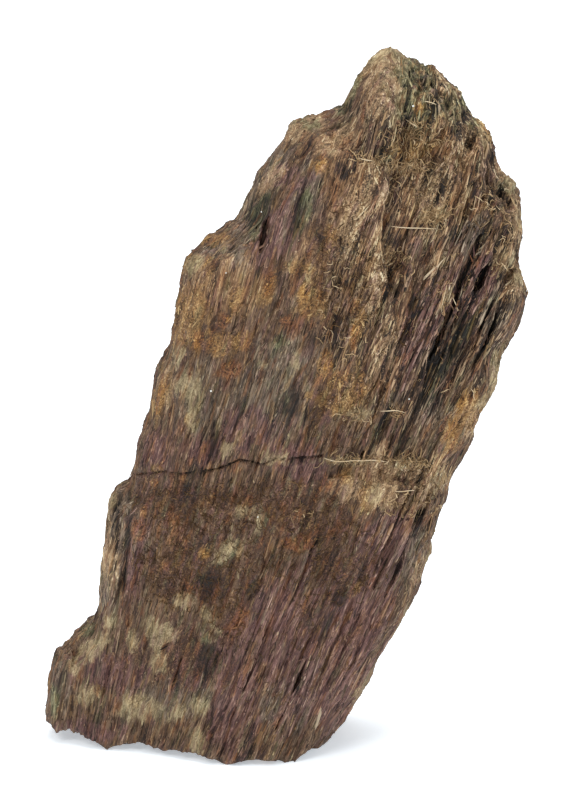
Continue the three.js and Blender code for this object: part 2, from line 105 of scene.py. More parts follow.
# What the surface is made of, by place, with some painted light and shade: middle x, y, half width,
# half height and lean in degrees.
PATCHES = {
    "cream": [
        # The first cream patch and the one at x 388, y 50 are the cream crust on the top rim, widened
        # to paint the light that falls on the rim from behind as well.
        (389, 52, 28, 15, 20), (396, 112, 7, 26, 14), (463, 90, 12, 9, -30), (489, 134, 10, 20, -22),
        (193, 262, 9, 12, 30), (178, 354, 7, 15, 6), (184, 386, 11, 16, 6), (194, 402, 6, 32, 6),
        (295, 361, 5, 12, 10), (264, 367, 7, 9, 0), (243, 511, 11, 9, 0), (260, 523, 5, 11, 10),
        (230, 549, 26, 9, -33), (183, 601, 12, 8, 0), (210, 620, 5, 17, -35), (158, 633, 20, 15, 0),
        (157, 662, 9, 13, 0), (134, 641, 8, 12, 0), (94, 648, 14, 15, 10), (108, 622, 7, 8, 0),
        (88, 698, 15, 14, 0), (137, 707, 23, 18, 0), (178, 712, 12, 12, 0), (200, 704, 10, 12, 0),
        (197, 741, 10, 12, 0), (388, 50, 14, 8, 20), (110, 500, 6, 10, 0), (74, 667, 7, 12, 10),
        (499, 366, 10, 30, 14), (489, 400, 8, 16, 24), (440, 480, 8, 12, 10), (429, 560, 4, 44, 14),
        (406, 615, 5, 26, 24), (362, 690, 7, 24, 28), (226, 451, 8, 8, 20), (276, 457, 14, 9, 20),
        (356, 414, 15, 8, 0), (446, 297, 6, 18, 24), (436, 216, 14, 9, -20), (350, 461, 34, 4, 0),
        (404, 464, 34, 5, 0), (375, 498, 9, 14, 0), (506, 260, 14, 8, 0), (519, 222, 5, 22, 0),
        (518, 276, 6, 12, 0), (508, 184, 7, 10, -20),
    ],
    "ochre": [
        (216, 240, 16, 12, -30), (196, 264, 18, 15, 0), (190, 333, 20, 15, 0), (222, 346, 26, 14, 0),
        (241, 342, 13, 11, 0), (236, 296, 10, 16, 20), (268, 292, 8, 20, 14), (162, 396, 11, 30, 12),
        (188, 420, 5, 14, 8), (325, 366, 9, 18, 8), (355, 332, 8, 25, 6), (350, 386, 24, 28, 14),
        (313, 299, 15, 22, 0), (321, 165, 9, 11, 20), (419, 108, 7, 7, 0), (486, 128, 9, 20, -22),
        (161, 467, 10, 8, 0), (206, 554, 7, 7, 0), (229, 547, 6, 5, 0), (243, 507, 8, 7, 0),
        (366, 500, 9, 24, 10), (345, 478, 11, 11, 0), (357, 587, 5, 8, 0), (472, 410, 18, 30, 26),
        (452, 430, 14, 22, 16), (498, 378, 9, 26, 14), (134, 701, 9, 8, 0), (98, 690, 8, 8, 0),
        (386, 660, 6, 18, 30), (186, 310, 24, 26, 10), (340, 402, 28, 16, 0), (406, 150, 28, 12, 0),
        (430, 566, 5, 30, 14), (358, 318, 9, 18, 8), (330, 240, 10, 14, 0), (300, 270, 14, 12, 0),
    ],
    "rust": [
        (222, 322, 8, 8, 0), (200, 340, 9, 10, 10), (230, 370, 16, 9, 0), (268, 285, 5, 14, 14),
        (325, 356, 4, 7, 8), (354, 334, 5, 18, 6), (159, 400, 3, 14, 10), (479, 312, 3, 20, 26),
        (478, 262, 3, 12, 28), (454, 332, 2, 14, 28), (330, 486, 6, 8, 0), (443, 424, 3, 14, 26),
        (155, 484, 5, 5, 0), (345, 575, 4, 5, 0), (204, 590, 26, 9, 0), (140, 530, 10, 12, 0),
        (240, 620, 10, 16, 10), (322, 158, 4, 6, 20), (284, 322, 8, 6, 0), (300, 545, 20, 10, 0),
        (170, 520, 16, 8, 0),
    ],
    "green": [
        (343, 108, 13, 9, -20), (420, 80, 24, 26, -10), (448, 104, 30, 20, -20), (408, 66, 18, 12, -30),
        (475, 124, 8, 10, -20), (507, 186, 10, 9, -20), (312, 126, 12, 7, 0), (284, 342, 12, 10, 10),
        (444, 362, 12, 40, 28), (383, 152, 12, 12, 0), (54, 700, 5, 18, 4), (300, 118, 14, 5, -20),
        (356, 84, 4, 18, 20), (90, 628, 14, 6, -45), (258, 216, 8, 24, 14), (302, 214, 8, 26, 14),
        (265, 520, 6, 12, 10), (198, 404, 6, 10, 0), (430, 112, 22, 28, 14), (414, 96, 16, 30, 10),
        (206, 640, 10, 8, 0), (376, 430, 8, 10, 10), (472, 324, 6, 26, 28), (230, 556, 16, 5, -33),
        (115, 480, 8, 5, 0),
    ],
    "moss": [
        (230, 505, 110, 26, 0), (205, 560, 60, 40, 0), (300, 520, 44, 40, 20), (335, 570, 34, 26, 30),
        (414, 150, 34, 16, 20), (178, 655, 60, 34, 10), (488, 204, 8, 8, 0), (322, 246, 20, 36, 8),
        (402, 262, 24, 12, 0), (232, 620, 18, 34, 10), (180, 575, 44, 30, 0), (160, 500, 40, 26, 0),
        (305, 610, 12, 12, 0), (345, 640, 10, 12, 0), (360, 560, 20, 16, 10), (408, 510, 24, 8, 0),
        (338, 400, 26, 24, 0), (312, 300, 16, 22, 0), (216, 340, 40, 16, 0), (206, 590, 34, 16, 0),
    ],
    "tan": [
        (352, 190, 32, 40, 12), (374, 262, 24, 50, 8), (330, 150, 24, 22, 20), (380, 370, 22, 40, 14),
        (225, 285, 40, 34, 20), (200, 300, 30, 30, 20), (440, 470, 14, 22, 14), (420, 205, 26, 22, 10),
        (450, 205, 20, 34, 28), (310, 250, 20, 40, 14), (372, 484, 36, 30, 0), (430, 150, 44, 44, 10),
        (470, 165, 14, 36, 20), (395, 330, 14, 40, 20), (505, 250, 14, 20, 0), (480, 90, 16, 16, -30),
    ],
    "pale": [
        # Patches near x 112, y 490 to 610 paint the left side face lighter, as lit from the left.
        (378, 92, 21, 46, 14), (379, 268, 12, 36, 8), (372, 176, 15, 22, 12), (350, 232, 16, 30, 10),
        (377, 482, 21, 32, 6), (430, 481, 22, 14, 0), (386, 344, 13, 36, 16), (436, 216, 14, 9, -20),
        (405, 508, 32, 9, 0), (466, 140, 12, 34, 18), (440, 176, 18, 24, 18), (508, 190, 11, 18, -14),
        (502, 256, 16, 14, 0), (478, 106, 10, 18, -30), (376, 304, 10, 20, 8), (412, 470, 28, 14, 0),
        (348, 132, 16, 16, 20), (420, 128, 10, 8, 0), (404, 166, 20, 8, 0), (301, 122, 36, 14, -22),
        (480, 126, 14, 18, -26), (432, 234, 20, 12, 0), (458, 88, 24, 13, -30), (442, 74, 16, 9, -30),
        (356, 82, 8, 22, 14), (108, 536, 4, 44, 4), (516, 226, 8, 30, 0), (513, 280, 11, 30, 10),
        (270, 180, 10, 30, 34), (476, 420, 12, 20, 26), (392, 500, 30, 12, 0), (502, 172, 9, 16, -14),
        (438, 190, 22, 26, 20), (434, 262, 12, 30, 20), (424, 488, 20, 12, 0), (376, 474, 24, 16, 0),
        (419, 570, 8, 26, 20), (330, 150, 14, 14, 20), (113, 500, 8, 10, 0), (455, 112, 12, 14, 0),
        (386, 194, 14, 30, 14), (360, 204, 18, 30, 10), (162, 396, 8, 28, 12), (506, 186, 12, 14, 0),
        # The first patch here, at x 380, y 60, lightens the top of the peak: cream crust and painted
        # rim light.
        (380, 60, 32, 22, 20), (115, 560, 6, 50, 4), (372, 484, 30, 26, 6), (296, 128, 30, 16, -26),
    ],
    "violet": [
        (290, 640, 60, 90, 14), (240, 700, 28, 60, 10), (350, 620, 46, 80, 24), (380, 540, 40, 46, 24),
        (92, 732, 36, 14, 8), (136, 560, 16, 56, 6), (420, 330, 24, 70, 26), (250, 426, 38, 22, 14),
        (160, 450, 24, 30, 10), (276, 236, 20, 36, 22), (110, 670, 44, 30, 4), (235, 650, 20, 60, 14),
        (300, 460, 40, 20, 10), (474, 290, 24, 50, 28), (196, 448, 26, 20, 12), (290, 176, 24, 16, 14),
        (330, 700, 40, 40, 20), (190, 675, 30, 16, 0),
    ],
    "grey": [
        # Patches near x 115, y 490 to 620 give the left side face its grey-pink colour and paint it
        # lighter, as lit from the left.
        (112, 550, 15, 64, 5), (120, 500, 12, 20, 5), (270, 160, 30, 50, 24), (250, 215, 26, 40, 22),
        (300, 200, 24, 50, 22), (290, 370, 34, 46, 14), (400, 360, 22, 50, 26), (225, 260, 34, 24, 20),
        (440, 420, 30, 26, 24), (417, 182, 8, 10, 20), (260, 400, 40, 34, 14), (398, 165, 10, 10, 0),
        (200, 400, 24, 40, 12), (455, 160, 16, 40, 20), (400, 560, 16, 46, 24), (60, 690, 12, 36, 4),
        (300, 700, 44, 40, 14), (500, 310, 20, 26, 20), (180, 700, 60, 24, 0), (470, 235, 14, 20, 28),
        (114, 545, 24, 74, 5),
    ],
    # The dark kind is painted shade in the grooves and gaps between columns, which the relief also
    # deepens, and over a highlight at x 326, y 628.
    "dark": [
        (470, 262, 3, 44, 28), (480, 278, 4, 20, 28), (457, 303, 3, 40, 28), (447, 335, 3, 52, 30),
        (463, 335, 3, 40, 30), (428, 362, 3, 48, 30), (440, 385, 4, 40, 30), (415, 388, 3, 34, 28),
        (487, 340, 3, 34, 26), (452, 360, 3, 40, 30), (424, 395, 3, 34, 30), (401, 287, 3, 16, 24),
        (268, 215, 3, 28, 18), (302, 220, 4, 26, 18), (280, 278, 2, 12, 10), (376, 149, 3, 7, 10),
        (423, 84, 3, 7, 10), (438, 96, 3, 12, 14), (492, 200, 3, 6, 0), (498, 207, 3, 6, 0),
        (386, 424, 11, 9, 10), (402, 430, 4, 10, 20), (298, 690, 2, 40, 3), (394, 240, 12, 6, 0),
        (418, 525, 3, 22, 22), (404, 452, 16, 4, 0), (388, 292, 3, 12, 20), (460, 130, 3, 22, 16),
        (410, 90, 3, 20, 12), (212, 716, 2, 34, 2), (360, 573, 4, 14, 24), (500, 240, 3, 20, 24),
        (390, 350, 2, 50, 24), (405, 330, 2, 40, 26), (244, 404, 2, 14, 6), (236, 420, 2, 20, 12),
        (338, 168, 3, 10, 18), (214, 580, 20, 14, 0), (178, 682, 2, 20, 5), (312, 345, 5, 14, 8),
        (116, 540, 2, 40, 4), (127, 548, 3, 60, 3), (343, 108, 9, 7, -20), (334, 330, 6, 16, 8),
        (300, 212, 9, 26, 18), (257, 214, 9, 25, 14), (338, 597, 12, 12, 20), (206, 662, 14, 16, 0),
        (206, 592, 26, 14, 0), (450, 348, 15, 44, 30), (432, 398, 10, 20, 28), (386, 152, 10, 10, 0),
        (300, 268, 6, 14, 12), (392, 438, 16, 10, 10), (344, 174, 5, 9, 20), (320, 236, 8, 12, 0),
        (214, 440, 4, 20, 6), (291, 404, 8, 16, 14), (326, 628, 5, 18, 22), (250, 590, 6, 16, 14),
        (430, 120, 3, 22, 14), (442, 188, 3, 18, 18), (426, 176, 3, 16, 18), (455, 214, 3, 20, 24),
    ],
    "amber": [
        (355, 331, 5, 20, 4), (328, 363, 6, 15, -14), (160, 398, 5, 24, 10), (321, 166, 6, 8, 20),
        (419, 109, 6, 6, 0), (453, 430, 5, 15, 20), (229, 320, 5, 5, 0), (241, 317, 5, 5, 0),
        (196, 345, 5, 9, 0), (485, 130, 5, 15, -22), (268, 286, 4, 13, 14), (206, 554, 5, 4, 0),
        (303, 292, 6, 10, 0), (428, 590, 4, 22, 16), (462, 404, 4, 14, 24), (345, 478, 5, 5, 0),
    ],
}
ZONES = list(PATCHES)
# The kinds that lie in round spots and mats. The others run in streaks along the needles.
CRUSTS = ["moss", "ochre", "rust", "cream"]
# The small and the large cells of the noise that frays the edges of the two.
CRUST_CELLS = ((1.1, 1.1, 1.3), (2.6, 2.6, 3))
STREAK_CELLS = ((1.2, 1.2, 4.5), (3, 3, 7))
# How matted the needles are under some kinds.
MATTED_SHARES = {"moss": 1, "ochre": 1, "rust": 1, "cream": 0.5, "pale": 0.7}
# How much rarer than the others a kind is on the sides that the view doesn't show.
RARITY = {"amber": 0.5}
# Where the needles are coarse columns, in the same form.
COARSE = [
    (455, 280, 60, 180, 24), (430, 110, 40, 60, 14), (400, 540, 30, 60, 24), (114, 550, 14, 62, 5),
]
# Where the surface is loose and crisp, in the same form: its needles stand prouder, and its colours get
# more contrast, painted highlight on the tips and painted shade in the gaps.
CRISP = [
    (430, 170, 100, 130, 20), (370, 280, 50, 140, 10), (450, 330, 70, 120, 26), (424, 466, 36, 16, 0),
]
# Tangles of straw-coloured hairs: middle x and y, half width, half height, and how many hairs.
STRAW_TANGLES = [
    (409, 127, 13, 10, 36), (430, 103, 10, 6, 8), (418, 140, 30, 10, 70), (406, 166, 24, 9, 80),
    (369, 159, 15, 5, 30), (436, 216, 14, 8, 90), (490, 200, 16, 14, 50), (461, 205, 14, 14, 24),
    (392, 258, 22, 9, 60), (446, 297, 6, 17, 50), (504, 268, 14, 8, 30), (471, 285, 8, 8, 12),
    (392, 411, 12, 3, 12), (356, 414, 14, 7, 30), (430, 330, 60, 80, 40), (372, 459, 52, 3, 100),
    (414, 463, 24, 3, 60), (403, 494, 14, 3, 24), (420, 160, 50, 50, 90), (408, 508, 30, 9, 70),
    (430, 482, 16, 14, 20), (345, 300, 34, 70, 60), (500, 235, 14, 28, 26), (300, 512, 12, 4, 10),
]
# Single long straws: where each starts and ends, and how far it bows off the surface.
STRAWS = [
    ((389, 226), (441, 229), 0.5), ((379, 411), (407, 413), 0.4), ((394, 491), (416, 490), 0.3),
    ((322, 457), (366, 459), 0.3), ((352, 461), (388, 462), 0.4), ((447, 283), (441, 314), 0.3),
    ((452, 296), (458, 312), 0.3), ((405, 119), (420, 128), 0.3), ((424, 101), (437, 105), 0.3),
    ((356, 158), (374, 161), 0.2), ((500, 262), (510, 272), 0.3),
]
# Where brown curls mat the surface, in the same form as the tangles.
BROWN_CURLS = [
    (235, 505, 110, 26, 420), (200, 565, 70, 50, 460), (330, 560, 60, 46, 420), (420, 160, 44, 34, 260),
    (350, 270, 34, 70, 300), (232, 625, 26, 34, 90), (410, 486, 40, 22, 90), (480, 200, 30, 30, 110),
    (345, 420, 40, 34, 130), (290, 660, 60, 60, 90), (200, 310, 50, 30, 60), (420, 300, 60, 60, 120),
]
# Where bright flakes glint, x and y, and their size in millimetres.
FLAKES = [
    (413, 106, 0.3), (211, 391, 0.25), (226, 273, 0.2), (262, 212, 0.2), (403, 144, 0.2),
    (409, 399, 0.22), (258, 517, 0.18),
]
# The crack that crosses the front from the left, and the edge of the ledge that carries it on.
CRACK = [
    (131, 475), (148, 473), (163, 471), (180, 474), (197, 472), (212, 470), (225, 466), (239, 460),
    (252, 462), (262, 465), (275, 459), (296, 458), (322, 456),
]

# Where the stations of long and of short needles lie, from one point at -1 to the other at 1.
LONG = np.array([-1.0, -0.45, 0.45, 1.0])
SHORT = np.array([-1.0, 0.0, 1.0])
# The layers of needles: side, how many, length, width and stations.
NEEDLES = [
    ("front", 14000, 2.2, 0.2, LONG), ("front", 30000, 1.5, 0.18, SHORT),
    ("front", 26000, 1.1, 0.15, SHORT), ("back", 12000, 2.8, 0.24, LONG),
    ("back", 16000, 1.7, 0.2, SHORT),
]
# Needles that would bend more than this, in millimetres, are left out.
STIFF = 0.25
# The layers of crumbs: side, how many and size.
CRUMBS = [("front", 20000, 0.17), ("back", 9000, 0.24)]
# How thick a hair is at each station, beside its thickest.
HAIR_TAPER = np.array([0, 0.9, 1, 1, 0.8, 0])
# How far a ripple turns, in radians, from end to end of a straw.
RIPPLE = 7


def smooth(low, high, value):
    """0 below low, 1 above high, eased between."""
    share = np.clip((value - low) / (high - low), 0, 1)
    return share * share * (3 - 2 * share)


def corner_value(column, row, layer, seed):
    """A repeatable number from -1 to 1 for each corner of a grid. The large odd factors mix it."""
    n = (column * 374761393 + row * 668265263 + layer * 1442695041 + seed * 97911253) & 0xFFFFFFFF
    n = ((n ^ (n >> 13)) * 1274126177) & 0xFFFFFFFF
    n = (n ^ (n >> 16)) & 0xFFFFFF
    return n / 0x7FFFFF - 1


def noise(points, cell, seed):
    """Smooth noise from -1 to 1, with cells of the given size along each axis.

    Each pattern has a seed of its own.
    """
    scaled = points / np.asarray(cell, float) + POSITIVE
    low = np.floor(scaled).astype(np.int64)
    t = scaled - low
    t = t * t * t * (t * (t * 6 - 15) + 10)
    total = np.zeros(len(points))
    for corner in np.ndindex(2, 2, 2):
        weight = np.where(corner, t, 1 - t).prod(axis=1)
        total += weight * corner_value(*(low + corner).T, seed)
    return total


def ridges(points, across, along, seed):
    """Round crests with sharp valleys between them, from -1 in a valley to about 1 on a crest."""
    return 3 * np.abs(noise(points, (across, across, along), seed)) - 1


def straightened(points):
    """From real places to the grain's own: needle line, depth and height."""
    rise = points[:, 2] - MID_HEIGHT
    u = (points[:, 0] - LEAN * rise) / (1 + FAN * rise)
    return np.column_stack([u, points[:, 1], points[:, 2]])


def leaned(points):
    """Back from the grain's own places to the real ones."""
    rise = points[:, 2] - MID_HEIGHT
    x = points[:, 0] + (LEAN + FAN * points[:, 0]) * rise
    return np.column_stack([x, points[:, 1], points[:, 2]])


def unit(vectors):
    return vectors / np.maximum(np.linalg.norm(vectors, axis=-1, keepdims=True), 1e-9)


def grain_direction(points):
    """The unit direction of the needles at each real place."""
    u = straightened(points)[:, 0]
    return unit(np.column_stack([LEAN + FAN * u, np.zeros(len(u)), np.ones(len(u))]))


def seen(points):
    """Where the reference view shows each real place, in its pixels."""
    out = points - EYE
    scale = PX_PER_MM * DISTANCE / (out @ AHEAD)
    centre = PICTURE / 2
    return np.column_stack([centre[0] + scale * (out @ RIGHT), centre[1] - scale * (out @ UP)])


def patch_cover(marks, patches):
    """How far each mark lies inside the nearest patch: 1 at its middle, 0 at its edge."""
    cover = np.full(len(marks), -np.inf)
    for x, y, half_width, half_height, lean in patches:
        turn = math.radians(lean)
        dx = marks[:, 0] - x
        dy = y - marks[:, 1]
        across = (dx * math.cos(turn) - dy * math.sin(turn)) / half_width
        along = (dx * math.sin(turn) + dy * math.cos(turn)) / half_height
        cover = np.maximum(cover, 1 - np.hypot(across, along))
    return cover


def visible(normals):
    """1 where a place faces the reference view, 0 where it is turned away, eased between."""
    return smooth(-0.3, 0.02, normals @ -AHEAD)


def area_share(points, normals, areas, seed):
    """How far each front place lies in some areas. Noise picks such areas on the other sides."""
    front = visible(normals)
    drawn = smooth(-0.15, 0.5, patch_cover(seen(points), areas))
    hidden = smooth(-0.1, 0.4, noise(straightened(points), (11, 11, 40), seed))
    return front * drawn + (1 - front) * hidden


def zone_masks(points, normals):
    """The share of each kind of surface at each real place, and how coarse, crisp and matted it is."""
    grain = straightened(points)
    front = visible(normals)
    marks = seen(points)
    masks = {}
    for number, kind in enumerate(ZONES):
        small, large = CRUST_CELLS if kind in CRUSTS else STREAK_CELLS
        wander = 0.4 * noise(grain, small, 60 + number) + 0.3 * noise(grain, large, 80 + number)
        drawn = smooth(-0.25, 0.55, patch_cover(marks, PATCHES[kind]) + wander)
        spots = 1.3 * noise(grain, (8, 8, 15), 100 + number) + wander - RARITY.get(kind, 0)
        masks[kind] = front * drawn + (1 - front) * smooth(0.15, 0.75, spots)
    masks["coarse"] = area_share(points, normals, COARSE, 140)
    masks["crisp"] = area_share(points, normals, CRISP, 141)
    crust = np.maximum.reduce([share * masks[kind] for kind, share in MATTED_SHARES.items()])
    masks["matted"] = crust * (1 - 0.6 * masks["coarse"])
    return masks


def crack_distance(points):
    """How far each place is from the crack in the view, in millimetres."""
    marks = seen(points)
    best = np.full(len(marks), np.inf)
    line = np.array(CRACK, float)
    for start, end in zip(line[:-1], line[1:]):
        way = end - start
        share = np.clip((marks - start) @ way / (way @ way), 0, 1)
        best = np.minimum(best, np.linalg.norm(marks - start - share[:, None] * way, axis=1))
    return best / PX_PER_MM


def read_points(mesh, attribute="co"):
    flat = np.zeros(len(mesh.vertices) * 3)
    mesh.vertices.foreach_get(attribute, flat)
    return flat.reshape(-1, 3)


def write_points(mesh, points):
    mesh.vertices.foreach_set("co", (points * METRES).ravel())
    mesh.update()


def select_only(piece):
    bpy.ops.object.select_all(action="DESELECT")
    piece.select_set(True)
    bpy.context.view_layer.objects.active = piece


def apply_modifier(piece, kind, **settings):
    select_only(piece)
    modifier = piece.modifiers.new(kind.lower(), kind)
    for key, value in settings.items():
        setattr(modifier, key, value)
    bpy.ops.object.modifier_apply(modifier=modifier.name)


def set_attribute(mesh, name, values):
    kind, key = ("FLOAT_VECTOR", "vector") if values.ndim == 2 else ("FLOAT", "value")
    layer = mesh.attributes.new(name, kind, "POINT")
    layer.data.foreach_set(key, values.astype(np.float32).ravel())


def paint(mesh, points, masks, tone, hollow_dirt_and_shade, each=1):
    """Gives the vertices their place in the grain, tone, dirt and painted shade in hollows, and zones.

    Every run of `each` vertices shares one value.
    """
    values = {"grain": straightened(points), "tone": tone, "hollow_dirt_and_shade": hollow_dirt_and_shade, **masks}
    for name, value in values.items():
        set_attribute(mesh, name, np.repeat(value, each, axis=0))


def fine_copy():
    """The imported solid, merged, straightened and remeshed on a grid that is long along the grain."""
    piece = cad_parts[NODE].copy()
    piece.data = piece.data.copy()
    piece.name = piece.data.name = "dumortierite"
    for key in list(piece.keys()):
        del piece[key]
    piece.parent = None
    bpy.context.scene.collection.objects.link(piece)
    select_only(piece)
    bpy.ops.object.mode_set(mode="EDIT")
    bpy.ops.mesh.select_all(action="SELECT")
    bpy.ops.mesh.remove_doubles(threshold=1e-6)
    bpy.ops.object.mode_set(mode="OBJECT")
    squat = straightened(read_points(piece.data) / METRES) / (1, 1, GRID_STRETCH)
    write_points(piece.data, squat)
    apply_modifier(piece, "REMESH", mode="VOXEL", voxel_size=GRID * METRES)
    apply_modifier(piece, "SMOOTH", factor=0.5, iterations=2)
    write_points(piece.data, leaned(read_points(piece.data) / METRES * (1, 1, GRID_STRETCH)))
    return piece


def split_faces_at_crack(piece):
    """Cuts the long faces near the crack into short ones, so that it can be thin."""
    mesh = piece.data
    points = read_points(mesh) / METRES
    normals = read_points(mesh, "normal")
    near = (crack_distance(points) < 1.0) & (normals @ -AHEAD > 0.1)
    select_only(piece)
    bpy.ops.object.mode_set(mode="EDIT")
    bpy.ops.mesh.select_all(action="DESELECT")
    bpy.ops.object.mode_set(mode="OBJECT")
    for face in mesh.polygons:
        face.select = bool(near[list(face.vertices)].all())
    bpy.ops.object.mode_set(mode="EDIT")
    bpy.ops.mesh.subdivide(number_cuts=4)
    bpy.ops.object.mode_set(mode="OBJECT")


def give_relief(piece):
    """Bundles, needles, lumps and grooves, and uneven needle ends where the grain is broken off.

    Needles are replaced by lumps where they are matted. The foot keeps its contact with the floor.
    Returns the height of the relief at each vertex.
    """
    mesh = piece.data
    points = read_points(mesh) / METRES
    normals = read_points(mesh, "normal")
    masks = zone_masks(points, normals)
    coarse = masks["coarse"]
    matted = masks["matted"]
    grain = straightened(points)
    sway = 0.7 * noise(grain, (5, 5, 12), 1) + matted * 0.8 * noise(grain, (2, 2, 2.6), 2)
    grain[:, 0] += sway

    # Cells across and along the grain, and heights, are in millimetres.
    bundles = ridges(grain, 1.7, 14, 3) * (0.16 + 0.12 * coarse)
    needles = ridges(grain, 0.8, 8, 4) * (0.18 + 0.2 * coarse)
    splinters = ridges(grain, 0.45, 4, 5) * (0.14 + 0.08 * coarse)
    lumps = noise(grain, (1.5, 1.5, 1.9), 6) * 0.26 + noise(grain, (0.8, 0.8, 1.3), 7) * 0.12
    gaps = smooth(0.4, 0.8, noise(grain, (0.55, 1.2, 9), 8)) * (0.3 + 0.8 * coarse)
    height = (1 - 0.65 * matted) * (bundles + needles + splinters) + matted * lumps
    height -= gaps + 0.25 * smooth(0.2, 0.9, masks["dark"]) * (0.4 + coarse)
    height += 0.15 * masks["cream"] + 0.1 * masks["ochre"]

    crack = crack_distance(points)
    facing = smooth(0, 0.4, normals @ -AHEAD)
    gape = 0.75 + 0.25 * noise(points, (3, 3, 3), 12)
    height -= facing * gape * CRACK_DEPTH * np.exp(-((crack / CRACK_WIDTH) ** 2))
    height += facing * LIP_HEIGHT * np.exp(-(((crack - LIP_PLACE) / LIP_WIDTH) ** 2))

    along = grain_direction(points)
    end = np.sum(normals * along, axis=1)
    ragged = 0.8 * noise(grain, (0.35, 0.35, 60), 10) + 0.8 * noise(grain, (1.1, 1.1, 60), 11)
    rooted = smooth(0.3, 2.2, points[:, 2])
    height = np.clip(height, DEEPEST, PROUDEST)
    moved = points + normals * (height * rooted)[:, None]
    moved += along * (np.abs(end) * end * ragged * 0.3 * rooted)[:, None]
    moved[:, 2] = np.maximum(moved[:, 2], 0)
    write_points(mesh, np.clip(moved, LOW - RELIEF_MARGIN, HIGH + (RELIEF_MARGIN, RELIEF_MARGIN, 0)))
    return height


def new_mesh(name, points, faces):
    """A piece from points in millimetres. A face that names its last point twice is a triangle."""
    mesh = bpy.data.meshes.new(name)
    lists = [face[:3] if face[2] == face[3] else face for face in faces.tolist()]
    mesh.from_pydata((points * METRES).tolist(), [], lists)
    piece = bpy.data.objects.new(name, mesh)
    bpy.context.scene.collection.objects.link(piece)
    return piece


def new_spindles(name, paths, radii, ups, sides, flat=1.0):
    """A piece of closed spindles with pointed ends, one along each path, and the points of each."""
    count, stations, _ = paths.shape
    rings = stations - 2
    ways = unit(np.gradient(paths, axis=1))
    side = unit(np.cross(ways, np.broadcast_to(ups[:, None], ways.shape)))
    up = np.cross(side, ways)
    angle = math.pi / 2 + 2 * math.pi * np.arange(sides) / sides
    across = np.cos(angle)[None, None, :, None]
    high = flat * np.sin(angle)[None, None, :, None]
    section = side[:, 1:-1, None] * across + up[:, 1:-1, None] * high
    ring = paths[:, 1:-1, None] + radii[:, 1:-1, None, None] * section
    points = np.concatenate([paths[:, :1], ring.reshape(count, -1, 3), paths[:, -1:]], axis=1)
    each = rings * sides + 2
    faces = []
    for i in range(sides):
        j = (i + 1) % sides
        faces.append([0, 1 + j, 1 + i, 1 + i])
        for r in range(rings - 1):
            base = 1 + r * sides
            faces.append([base + i, base + j, base + sides + j, base + sides + i])
        last = 1 + (rings - 1) * sides
        faces.append([last + i, last + j, each - 1, each - 1])
    pattern = np.array(faces)
    everywhere = pattern[None] + (np.arange(count) * each)[:, None, None]
    return new_mesh(name, points.reshape(-1, 3), everywhere.reshape(-1, 4)), each


def smoothed_normals(mesh, rounds):
    """The vertices' normals, averaged with their neighbours' a number of times."""
    ends = np.zeros(len(mesh.edges) * 2, np.int64)
    mesh.edges.foreach_get("vertices", ends)
    a, b = ends.reshape(-1, 2).T
    normals = read_points(mesh, "normal")
    count = len(normals)
    for _ in range(rounds):
        sums = [
            np.bincount(a, normals[b, axis], count) + np.bincount(b, normals[a, axis], count)
            for axis in range(3)
        ]
        normals = unit(normals + np.column_stack(sums))
    return normals


class Surface:
    """The finished mass, for laying things on it.

    `across` is 0 on broken ends of needles and 1 on their sides.
    """

    def __init__(self, piece):
        mesh = piece.data
        points = read_points(mesh) / METRES
        count = len(mesh.polygons)
        faces = [tuple(face.vertices) for face in mesh.polygons]
        self.tree = BVHTree.FromPolygons([Vector(point) for point in points], faces)
        self.areas = np.zeros(count)
        mesh.polygons.foreach_get("area", self.areas)
        first = np.array([face[0] for face in faces])
        opposite = np.array([face[2] for face in faces])
        self.centres = (points[first] + points[opposite]) / 2
        self.normals = smoothed_normals(mesh, rounds=14)[first]
        self.across = 1 - np.abs(np.sum(self.normals * grain_direction(self.centres), axis=1))
        self.masks = zone_masks(self.centres, self.normals)

    def sample(self, count, weight, rng):
        """Random places by area and weight, with the smooth normals there."""
        chance = self.areas * weight
        chosen = rng.choice(len(chance), count, p=chance / chance.sum())
        jitter = rng.uniform(-0.5, 0.5, (count, 3)) * (0.2, 0.2, 0.9)
        return self.centres[chosen] + jitter, self.normals[chosen]

    def drop(self, paths, normals, reach=1.4):
        """How high the surface lies over the stations of paths, or nan where it isn't near."""
        heights = np.full(paths.shape[:2], np.nan)
        for path, normal, row in zip(paths, normals, heights):
            for i, point in enumerate(path):
                start = Vector(point + normal * reach)
                hit, _, _, distance = self.tree.ray_cast(start, Vector(-normal), 2 * reach)
                if hit is not None:
                    row[i] = reach - distance
        return heights

    def under_marks(self, marks):
        """The front places that the reference view shows at pixels, their normals, and which hit."""
        spread = (marks - PICTURE / 2) / (PX_PER_MM * DISTANCE)
        ways = unit(AHEAD + spread[:, :1] * RIGHT - spread[:, 1:] * UP)
        points = np.zeros((len(marks), 3))
        normals = np.zeros((len(marks), 3))
        found = np.zeros(len(marks), bool)
        for i, way in enumerate(ways):
            hit, _, face, _ = self.tree.ray_cast(Vector(EYE), Vector(way))
            if hit is not None:
                points[i] = hit
                normals[i] = self.normals[face]
                found[i] = True
        return points[found], normals[found], found


def tangent(ways, normals):
    """The ways, laid flat on surfaces with these normals."""
    return unit(ways - normals * np.sum(ways * normals, axis=1, keepdims=True))


def inside_box(paths):
    """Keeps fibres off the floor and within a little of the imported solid's box."""
    return np.clip(paths, LOW + (-FIBRE_MARGIN, -FIBRE_MARGIN, FLOOR_GAP), HIGH + FIBRE_MARGIN)


